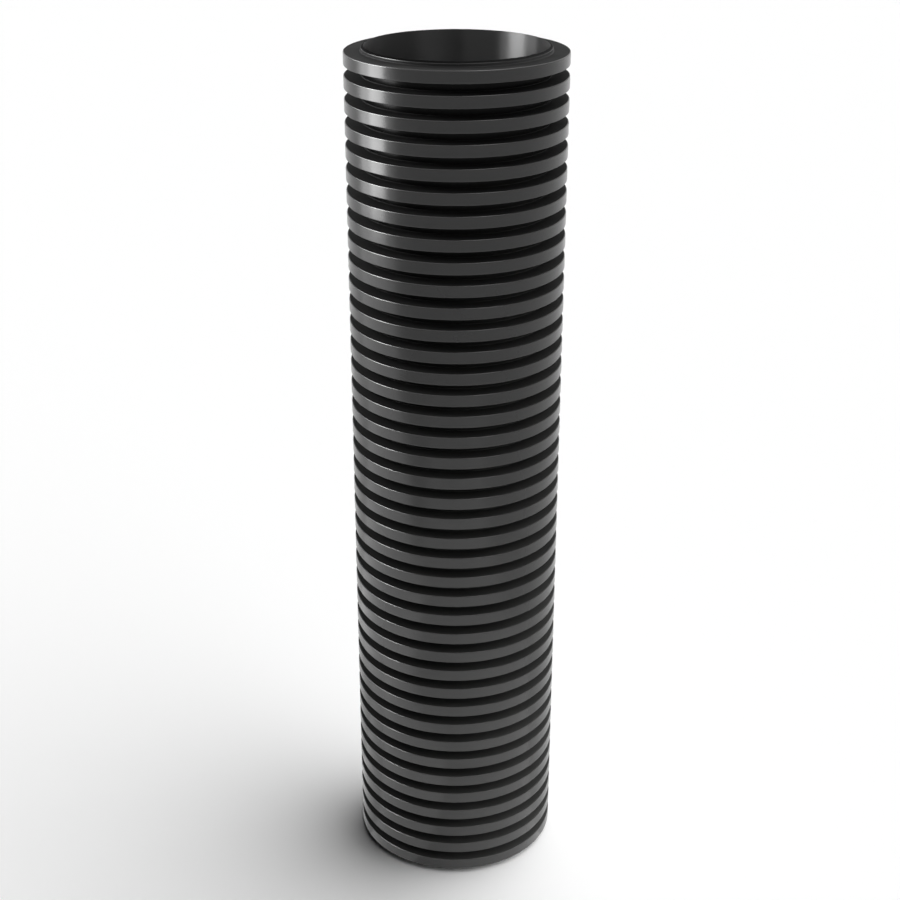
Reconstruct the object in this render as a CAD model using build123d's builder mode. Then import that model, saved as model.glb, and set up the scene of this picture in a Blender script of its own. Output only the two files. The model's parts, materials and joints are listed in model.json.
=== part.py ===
from build123d import *
import os

# Inspection chamber shaft: an upright plastic pipe with square ribs round a smooth bore.
# Frame: +Z up along the axis, origin at the middle of the bottom end, millimetres.

# Driving dimensions
BORE_DIAMETER = 400.0
LINER_WALL = 6.0
RIB_DEPTH = 38.0
RIB_WIDTH = 27.0
GROOVE_WIDTH = 23.0
RIB_COUNT = 40

# The pipe is cut in the middle of a groove at each end, so the liner stands past the end rib as a short lip.
lip_height = GROOVE_WIDTH / 2
rib_pitch = RIB_WIDTH + GROOVE_WIDTH
shaft_length = RIB_COUNT * rib_pitch
bore_radius = BORE_DIAMETER / 2
liner_radius = bore_radius + LINER_WALL
rib_corners = [(liner_radius, lip_height + number * rib_pitch) for number in range(RIB_COUNT)]

# The wall's lengthwise section stands to the right of the axis and is turned once round it.
with BuildPart() as shaft:
    with BuildSketch(Plane.XZ) as wall_section:
        # The liner is the smooth inner wall from end to end.
        with Locations((bore_radius, 0)):
            Rectangle(LINER_WALL, shaft_length, align=Align.MIN)
        # The ribs are square in section, one to each pitch.
        with Locations(rib_corners):
            Rectangle(RIB_DEPTH, RIB_WIDTH, align=Align.MIN)
    revolve(axis=Axis.Z)

shaft.part.label = "shaft"

os.makedirs("parts", exist_ok=True)
export_step(shaft.part, "parts/shaft.step")
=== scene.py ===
import json
import math

import bpy
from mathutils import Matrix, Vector


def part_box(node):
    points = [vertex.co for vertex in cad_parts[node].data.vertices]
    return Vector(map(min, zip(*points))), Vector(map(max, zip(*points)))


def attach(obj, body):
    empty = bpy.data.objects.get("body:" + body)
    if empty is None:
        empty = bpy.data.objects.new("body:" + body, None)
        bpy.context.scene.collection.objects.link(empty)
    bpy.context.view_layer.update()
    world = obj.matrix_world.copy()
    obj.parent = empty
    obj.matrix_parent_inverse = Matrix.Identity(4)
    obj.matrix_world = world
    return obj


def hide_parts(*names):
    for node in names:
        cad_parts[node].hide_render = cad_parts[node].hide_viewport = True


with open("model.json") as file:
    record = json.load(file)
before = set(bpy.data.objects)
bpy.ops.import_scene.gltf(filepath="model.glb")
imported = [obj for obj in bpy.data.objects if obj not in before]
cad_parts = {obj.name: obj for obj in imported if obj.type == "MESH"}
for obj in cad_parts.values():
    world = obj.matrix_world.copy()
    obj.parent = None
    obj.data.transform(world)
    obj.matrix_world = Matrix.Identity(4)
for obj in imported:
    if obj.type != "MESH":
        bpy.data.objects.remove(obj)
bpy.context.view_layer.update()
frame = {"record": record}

# Looks of the inspection chamber shaft. Metres, +Z up, the pipe's axis is the Z axis.

# Sizes of the pipe, taken from the frame where it has them
MOUNT_DIMS = {mount["name"]: mount["dims"] for mount in frame["record"]["mounts"]}
SHAFT_LOW, SHAFT_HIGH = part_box("shaft")
MILLIMETRE = 0.001
BORE_RADIUS = MOUNT_DIMS["bore"]["r_mm"] * MILLIMETRE
OUTER_RADIUS = MOUNT_DIMS["spigot"]["r_mm"] * MILLIMETRE
LENGTH = SHAFT_HIGH[2] - SHAFT_LOW[2]
RIBBED_LENGTH = MOUNT_DIMS["spigot"]["length_mm"] * MILLIMETRE
LIP_HEIGHT = (LENGTH - RIBBED_LENGTH) / 2
LINER_WALL = 0.006
LINER_RADIUS = BORE_RADIUS + LINER_WALL
RIB_COUNT = 40
PITCH = LENGTH / RIB_COUNT
RIB_WIDTH = PITCH - 2 * LIP_HEIGHT

# Roundings of the edges, all seen in section
RIB_EDGE_RADIUS = 0.0018
RIB_FOOT_RADIUS = 0.0025
LIP_EDGE_RADIUS = 0.0012
LIP_CHAMFER = 0.0042
CHAMFER_ANGLE = 45
ARC_STEPS = 3
SEGMENTS = 144

# How far a face may lie from the bore's wall and still belong to it
BORE_MARGIN = 0.00006
# How deep the glossy rounding under the lip's chamfer reaches into the liner
GLOSSY_DEPTH = 0.0004

# Slots of the finishes on the mesh: the ribs' faces and sides, the liner between them, the bore,
# the flat top of the first rib, the lip's wall and its sawn end
RIB_FACE, RIB_SIDE, LINER, BORE, CROWN, LIP, CUT = range(7)

# Sizes of the spots of noise in the plastic, along X, Y and Z: rings round the pipe, lines along it,
# the peel of its skin, clouds of gloss and patches of the painted light at the foot
RINGS = (0.15, 0.15, 0.0008)
LONG_LINES = (0.0015, 0.0015, 0.4)
PEEL_SPOTS = (0.0012, 0.0012, 0.0012)
GLOSS_CLOUDS = (0.05, 0.05, 0.04)
FOOT_LIGHT_PATCHES = (0.2, 0.2, 0.12)

# Strength of the plastic's fine detail. The painted light at the foot has a little less blue than red
NOISE_RANGE = (0.3, 0.7)
FOOT_LIGHT_SPREAD = (0.75, 1.25)
FOOT_LIGHT_WARMTH = 0.97
ROUGHNESS_SPREAD = 0.03
RELIEF_DEPTH = 0.000018

# Sockets of a Mix node that are known only by number
MIX_FACTOR = 0
MIX_NUMBERS = (2, 3)
MIX_NUMBER_OUT = 0
MIX_COLOURS = (6, 7)
MIX_COLOUR_OUT = 2

# The camera's place, in outer radii from the axis and above the top rib
CAMERA_SIDEWAYS = -0.0593
CAMERA_DISTANCE = 14.076
CAMERA_RISE = 2.408
# How far it looks down, in radians, and its lens
CAMERA_TILT = 0.41780
FOCAL_PIXELS = 1578.4
FRAME_PIXELS = 900
SENSOR_WIDTH = 36.0
VIEW_LIMIT = 100

# The studio: a floor, and light that is strongest from one side
FLOOR_HALF = 30.0
FLOOR_GREY = 0.8
WHITE = (1, 1, 1, 1)
LIGHT_AZIMUTH = math.radians(25.7)
LIGHT_PEAK = 4.15
LIGHT_SPREAD = 0.81

# Cards that the gloss reflects, in metres
QUARTER_TURN = math.pi / 2
STRIP_X = -2.244
LAYER_GAP = 0.05
FILL_X = -3.3
AIM_POINT = Vector((0, 0, 1.5))
# The front card on the floor overlaps the others, so it lies a little higher
CARD_HEIGHT = 0.004
FRONT_CARD_HEIGHT = 0.006


def arc(centre_r, centre_z, radius, start, turn=90):
    """Gives the points and outward normals of an arc that runs on from the start angle in degrees."""
    points = []
    for step in range(ARC_STEPS + 1):
        angle = math.radians(start + turn * step / ARC_STEPS)
        out = Vector((math.cos(angle), math.sin(angle)))
        place = Vector((centre_r, centre_z)) + out * radius
        points.append((place, out if turn > 0 else -out))
    return points


def wall_section():
    """Walks once round the wall's lengthwise section, up outside and back down inside."""
    lip, edge, foot = LIP_EDGE_RADIUS, RIB_EDGE_RADIUS, RIB_FOOT_RADIUS
    cut = LIP_CHAMFER + lip * math.tan(math.radians(CHAMFER_ANGLE / 2))
    path = arc(LINER_RADIUS - lip, lip, lip, -90)
    for number in range(RIB_COUNT):
        low = LIP_HEIGHT + number * PITCH
        high = low + RIB_WIDTH
        path += arc(LINER_RADIUS + foot, low - foot, foot, 180, -90)
        path += arc(OUTER_RADIUS - edge, low + edge, edge, -90)
        path += arc(OUTER_RADIUS - edge, high - edge, edge, 0)
        path += arc(LINER_RADIUS + foot, high + foot, foot, 270, -90)
    path += arc(LINER_RADIUS - lip, LENGTH - cut, lip, 0, CHAMFER_ANGLE)
    path += arc(LINER_RADIUS - cut, LENGTH - lip, lip, CHAMFER_ANGLE, 90 - CHAMFER_ANGLE)
    path += arc(BORE_RADIUS + lip / 2, LENGTH - lip / 2, lip / 2, 90)
    path += arc(BORE_RADIUS + lip, lip, lip, 180)
    return path


def finish_between(here, onward):
    """Tells which finish the wall has between two neighbouring points of its section."""
    radius = (here.x + onward.x) / 2
    height = (here.y + onward.y) / 2
    upright = here.x == onward.x
    if radius < BORE_RADIUS + BORE_MARGIN:
        return BORE
    if radius > OUTER_RADIUS - RIB_EDGE_RADIUS:
        return RIB_FACE
    if LIP_HEIGHT < height < LENGTH - LIP_HEIGHT:
        return LINER if upright else RIB_SIDE
    if radius > LINER_RADIUS + RIB_FOOT_RADIUS:
        return CROWN
    if radius > LINER_RADIUS or upright:
        return LIP
    return RIB_FACE if radius > LINER_RADIUS - GLOSSY_DEPTH else CUT


def turned_mesh(name, path):
    """Turns a closed section once round the Z axis and gives each point its true normal."""
    vertices, normals, faces, slots = [], [], [], []
    count = len(path)
    for segment in range(SEGMENTS):
        angle = 2 * math.pi * segment / SEGMENTS
        cos, sin = math.cos(angle), math.sin(angle)
        here = segment * count
        there = (segment + 1) % SEGMENTS * count
        for step, (place, out) in enumerate(path):
            onward = (step + 1) % count
            vertices.append((place.x * cos, place.x * sin, place.y))
            normals.append((out.x * cos, out.x * sin, out.y))
            faces.append((here + step, there + step, there + onward, here + onward))
            slots.append(finish_between(place, path[onward][0]))
    mesh = bpy.data.meshes.new(name)
    mesh.from_pydata(vertices, [], faces)
    mesh.polygons.foreach_set("material_index", slots)
    mesh.polygons.foreach_set("use_smooth", [True] * len(faces))
    mesh.normals_split_custom_set_from_vertices(normals)
    mesh.update()
    return mesh


def placed(name, data):
    """Makes an object of a mesh, lamp or camera and puts it in the scene."""
    thing = bpy.data.objects.new(name, data)
    bpy.context.collection.objects.link(thing)
    return thing


def new_material(name):
    """Gives a material with its nodes, links and shader."""
    material = bpy.data.materials.new(name)
    material.use_nodes = True
    nodes = material.node_tree.nodes
    return material, nodes, material.node_tree.links, nodes["Principled BSDF"]


def calculated(nodes, links, operation, first, second):
    """Works out a value from a socket and a second socket or number."""
    result = nodes.new("ShaderNodeMath")
    result.operation = operation
    links.new(first, result.inputs[0])
    if isinstance(second, bpy.types.NodeSocket):
        links.new(second, result.inputs[1])
    else:
        result.inputs[1].default_value = second
    return result.outputs[0]


def mixed_colour(nodes, links, factor, first, second):
    """Goes from the first colour to the second as the factor goes from 0 to 1."""
    mix = nodes.new("ShaderNodeMix")
    mix.data_type = "RGBA"
    links.new(factor, mix.inputs[MIX_FACTOR])
    for socket, colour in zip(MIX_COLOURS, (first, second)):
        mix.inputs[socket].default_value = colour
    return mix.outputs[MIX_COLOUR_OUT]


def stretched_noise(nodes, links, size, detail):
    """Gives noise whose spots have the size given along X, Y and Z, in metres."""
    place = nodes.new("ShaderNodeTexCoord")
    stretch = nodes.new("ShaderNodeMapping")
    stretch.inputs["Scale"].default_value = [1 / length for length in size]
    links.new(place.outputs["Object"], stretch.inputs["Vector"])
    noise = nodes.new("ShaderNodeTexNoise")
    noise.inputs["Scale"].default_value = 1.0
    noise.inputs["Detail"].default_value = detail
    links.new(stretch.outputs["Vector"], noise.inputs["Vector"])
    return noise.outputs["Fac"]


def ranged(nodes, links, value, old, new):
    """Maps a value from one range to another and holds it there."""
    mapped = nodes.new("ShaderNodeMapRange")
    links.new(value, mapped.inputs["Value"])
    mapped.inputs["From Min"].default_value, mapped.inputs["From Max"].default_value = old
    mapped.inputs["To Min"].default_value, mapped.inputs["To Max"].default_value = new
    return mapped.outputs["Result"]


def painted_foot_light(nodes, links):
    """Painted light: lightens the base colour towards the foot, none at the top, unevenly spread,
    standing in for light thrown up by the floor.
    """
    place = nodes.new("ShaderNodeTexCoord")
    height = nodes.new("ShaderNodeSeparateXYZ")
    links.new(place.outputs["Object"], height.inputs[0])
    low = ranged(nodes, links, height.outputs["Z"], (0, LENGTH), (1, 0))
    spots = stretched_noise(nodes, links, FOOT_LIGHT_PATCHES, detail=4)
    patches = ranged(nodes, links, spots, NOISE_RANGE, FOOT_LIGHT_SPREAD)
    foot_light = calculated(nodes, links, "MULTIPLY", low, patches)
    foot_light.node.use_clamp = True
    return foot_light


def black_plastic(name, grain, roughness, specular, top_tone, foot_tone):
    """Black polypropylene. Its grain is the size of the marks that the extruder and the mould leave."""
    material, nodes, links, shader = new_material(name)
    shader.inputs["Specular IOR Level"].default_value = specular
    top_black = (top_tone, top_tone, top_tone, 1)
    foot_black = (foot_tone, foot_tone, foot_tone * FOOT_LIGHT_WARMTH, 1)
    # painted light: the base colour goes from the top tone to a lighter tone at the foot, standing in for
    # light from the floor
    tone = mixed_colour(nodes, links, painted_foot_light(nodes, links), top_black, foot_black)
    links.new(tone, shader.inputs["Base Color"])
    clouds = stretched_noise(nodes, links, GLOSS_CLOUDS, detail=5)
    spread = (roughness - ROUGHNESS_SPREAD, roughness + ROUGHNESS_SPREAD)
    links.new(ranged(nodes, links, clouds, NOISE_RANGE, spread), shader.inputs["Roughness"])
    marks = stretched_noise(nodes, links, grain, detail=3)
    peel = stretched_noise(nodes, links, PEEL_SPOTS, detail=1)
    bump = nodes.new("ShaderNodeBump")
    bump.inputs["Distance"].default_value = RELIEF_DEPTH
    links.new(calculated(nodes, links, "ADD", marks, peel), bump.inputs["Height"])
    links.new(bump.outputs["Normal"], shader.inputs["Normal"])
    return material


def draw_sideways(material):
    """Stretches highlights along the pipe, as fine lengthwise drawing lines do."""
    nodes, links = material.node_tree.nodes, material.node_tree.links
    shader = nodes["Principled BSDF"]
    shader.inputs["Anisotropic"].default_value = 1.0
    shader.inputs["Anisotropic Rotation"].default_value = 0.25
    tangent = nodes.new("ShaderNodeTangent")
    tangent.direction_type = "RADIAL"
    tangent.axis = "Z"
    links.new(tangent.outputs["Tangent"], shader.inputs["Tangent"])


def finishes():
    """Gives the finishes in the order of their slots: shiny ribs with dull sides, and a dull sawn end."""
    # painted shade and light: the top tones differ by part of one plastic, darkest on the rib sides and
    # liner in the grooves as painted shade, lighter on the crown and lip as painted light
    rib_face = black_plastic("rib_face", RINGS, roughness=0.22, specular=0.43, top_tone=0.006, foot_tone=0.03)
    rib_side = black_plastic("rib_side", RINGS, roughness=0.75, specular=0.09, top_tone=0.002, foot_tone=0.053)
    liner = black_plastic("liner", RINGS, roughness=0.22, specular=0.06, top_tone=0.0005, foot_tone=0.045)
    bore = black_plastic("bore", LONG_LINES, roughness=0.35, specular=0.5, top_tone=0.004, foot_tone=0.008)
    crown = black_plastic("crown", RINGS, roughness=0.9, specular=0.0, top_tone=0.0185, foot_tone=0.045)
    lip = black_plastic("lip", RINGS, roughness=0.6, specular=0.07, top_tone=0.027, foot_tone=0.045)
    cut = black_plastic("cut", RINGS, roughness=0.95, specular=0.02, top_tone=0.011, foot_tone=0.03)
    draw_sideways(bore)
    return [rib_face, rib_side, liner, bore, crown, lip, cut]


def shaft_piece():
    """The whole pipe, in place of the plain solid."""
    mesh = turned_mesh("shaft_body", wall_section())
    for finish in finishes():
        mesh.materials.append(finish)
    piece = placed("shaft_body", mesh)
    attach(piece, "root")
    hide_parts("shaft")


def seen_ray(nodes, links):
    """Gives 1 on rays of the camera, of reflections and through glass, so that all see the same white."""
    path = nodes.new("ShaderNodeLightPath").outputs
    direct = calculated(nodes, links, "MAXIMUM", path["Is Camera Ray"], path["Is Glossy Ray"])
    return calculated(nodes, links, "MAXIMUM", direct, path["Is Transmission Ray"])


def studio_floor():
    """A pale, matt floor that looks white where it is seen and keeps the pipe's shadow."""
    corners = [(x * FLOOR_HALF, y * FLOOR_HALF, 0) for x, y in ((-1, -1), (1, -1), (1, 1), (-1, 1))]
    mesh = bpy.data.meshes.new("studio_floor")
    mesh.from_pydata(corners, [], [(0, 1, 2, 3)])
    material, nodes, links, shader = new_material("studio_floor")
    shader.inputs["Roughness"].default_value = 1.0
    shader.inputs["Specular IOR Level"].default_value = 0.0
    grey = (FLOOR_GREY, FLOOR_GREY, FLOOR_GREY, 1)
    paint = mixed_colour(nodes, links, seen_ray(nodes, links), grey, WHITE)
    links.new(paint, shader.inputs["Base Color"])
    mesh.materials.append(material)
    placed("studio_floor", mesh)


def camera():
    """Looks down at the pipe from the photograph's height and distance."""
    data = bpy.data.cameras.new("camera")
    data.sensor_width = SENSOR_WIDTH
    data.lens = SENSOR_WIDTH * FOCAL_PIXELS / FRAME_PIXELS
    data.clip_end = VIEW_LIMIT
    seat = placed("camera", data)
    across = CAMERA_SIDEWAYS * OUTER_RADIUS
    back = -CAMERA_DISTANCE * OUTER_RADIUS
    up = LENGTH - LIP_HEIGHT + CAMERA_RISE * OUTER_RADIUS
    seat.location = (across, back, up)
    seat.rotation_euler = (QUARTER_TURN - CAMERA_TILT, 0, 0)
    bpy.context.scene.camera = seat


def studio_light():
    """A soft light from the right and slightly behind, so that the shadow falls to the left."""
    world = bpy.data.worlds.new("studio")
    bpy.context.scene.world = world
    world.use_nodes = True
    nodes, links = world.node_tree.nodes, world.node_tree.links
    direction = nodes.new("ShaderNodeTexCoord")
    facing = nodes.new("ShaderNodeVectorMath")
    facing.operation = "DOT_PRODUCT"
    facing.inputs[1].default_value = (math.cos(LIGHT_AZIMUTH), math.sin(LIGHT_AZIMUTH), 0)
    links.new(direction.outputs["Generated"], facing.inputs[0])
    lit = calculated(nodes, links, "MAXIMUM", facing.outputs["Value"], 0)
    spread = calculated(nodes, links, "POWER", lit, LIGHT_SPREAD)
    level = calculated(nodes, links, "MULTIPLY", spread, LIGHT_PEAK)
    strength = nodes.new("ShaderNodeMix")
    unseen, seen = MIX_NUMBERS
    links.new(seen_ray(nodes, links), strength.inputs[MIX_FACTOR])
    links.new(level, strength.inputs[unseen])
    strength.inputs[seen].default_value = 1.0
    background = nodes["Background"]
    links.new(strength.outputs[MIX_NUMBER_OUT], background.inputs["Strength"])
    background.inputs["Color"].default_value = WHITE


def reflected_card(name, centre, rotation, size, radiance):
    """A soft light that shows only in reflections."""
    data = bpy.data.lights.new(name, "AREA")
    data.shape = "RECTANGLE"
    data.size, data.size_y = size
    data.energy = radiance * math.pi * data.size * data.size_y
    lamp = placed(name, data)
    lamp.location = centre
    lamp.rotation_euler = rotation
    lamp.visible_camera = False
    lamp.visible_diffuse = False


def left_card(name, x, y_range, z_range, radiance):
    """An upright card on the left of the pipe, facing it."""
    centre = (x, sum(y_range) / 2, sum(z_range) / 2)
    size = (y_range[1] - y_range[0], z_range[1] - z_range[0])
    reflected_card(name, centre, (QUARTER_TURN, 0, -QUARTER_TURN), size, radiance)


def floor_card(name, x_range, y_range, z, radiance):
    """A card lying on the floor, facing up."""
    centre = (sum(x_range) / 2, sum(y_range) / 2, z)
    size = (x_range[1] - x_range[0], y_range[1] - y_range[0])
    reflected_card(name, centre, (2 * QUARTER_TURN, 0, 0), size, radiance)


def aimed_card(name, centre, size, radiance):
    """A card high up that faces the upper part of the pipe."""
    aim = (AIM_POINT - Vector(centre)).to_track_quat("-Z", "Y").to_euler()
    reflected_card(name, centre, aim, size, radiance)


def reflections():
    """Cards that the gloss shows. Where two overlap, they lie in planes of their own."""
    near = STRIP_X + LAYER_GAP
    left_card("strip_low_wide", STRIP_X, y_range=(-0.62, 0.75), z_range=(1.1, 2.3), radiance=3.7)
    left_card("strip_low_narrow", near, y_range=(-0.6, 0.15), z_range=(1.1, 2.3), radiance=6.8)
    left_card("strip_high_wide", STRIP_X, y_range=(-1.3, 1.6), z_range=(2.3, 3.2), radiance=11)
    left_card("strip_high_narrow", near, y_range=(-0.62, 0.4), z_range=(2.3, 3.2), radiance=34)
    left_card("fill_left", FILL_X, y_range=(-1.6, 1.6), z_range=(0, 2.4), radiance=0.9)
    floor_card("floor_near_left", (-0.9, -0.12), y_range=(-0.75, 0.2), z=CARD_HEIGHT, radiance=0.5)
    floor_card("floor_left", (-1.7, -0.9), y_range=(-1.4, 0.9), z=CARD_HEIGHT, radiance=0.85)
    floor_card("floor_far_left", (-3.3, -1.7), y_range=(-1.6, 0.9), z=CARD_HEIGHT, radiance=1.1)
    floor_card("floor_front", (-1.2, 1.2), y_range=(-2.6, -0.1), z=FRONT_CARD_HEIGHT, radiance=0.5)
    aimed_card("behind", centre=(0.7, 1.9, 4.4), size=(1.8, 1.4), radiance=2.5)
    aimed_card("right_high", centre=(1.25, -0.85, 5.8), size=(2.0, 2.0), radiance=7)
    aimed_card("front_high", centre=(-1.8, -2.2, 3.7), size=(3.4, 1.0), radiance=3)


shaft_piece()
studio_floor()
camera()
studio_light()
reflections()
bpy.context.scene.view_settings.view_transform = "Standard"
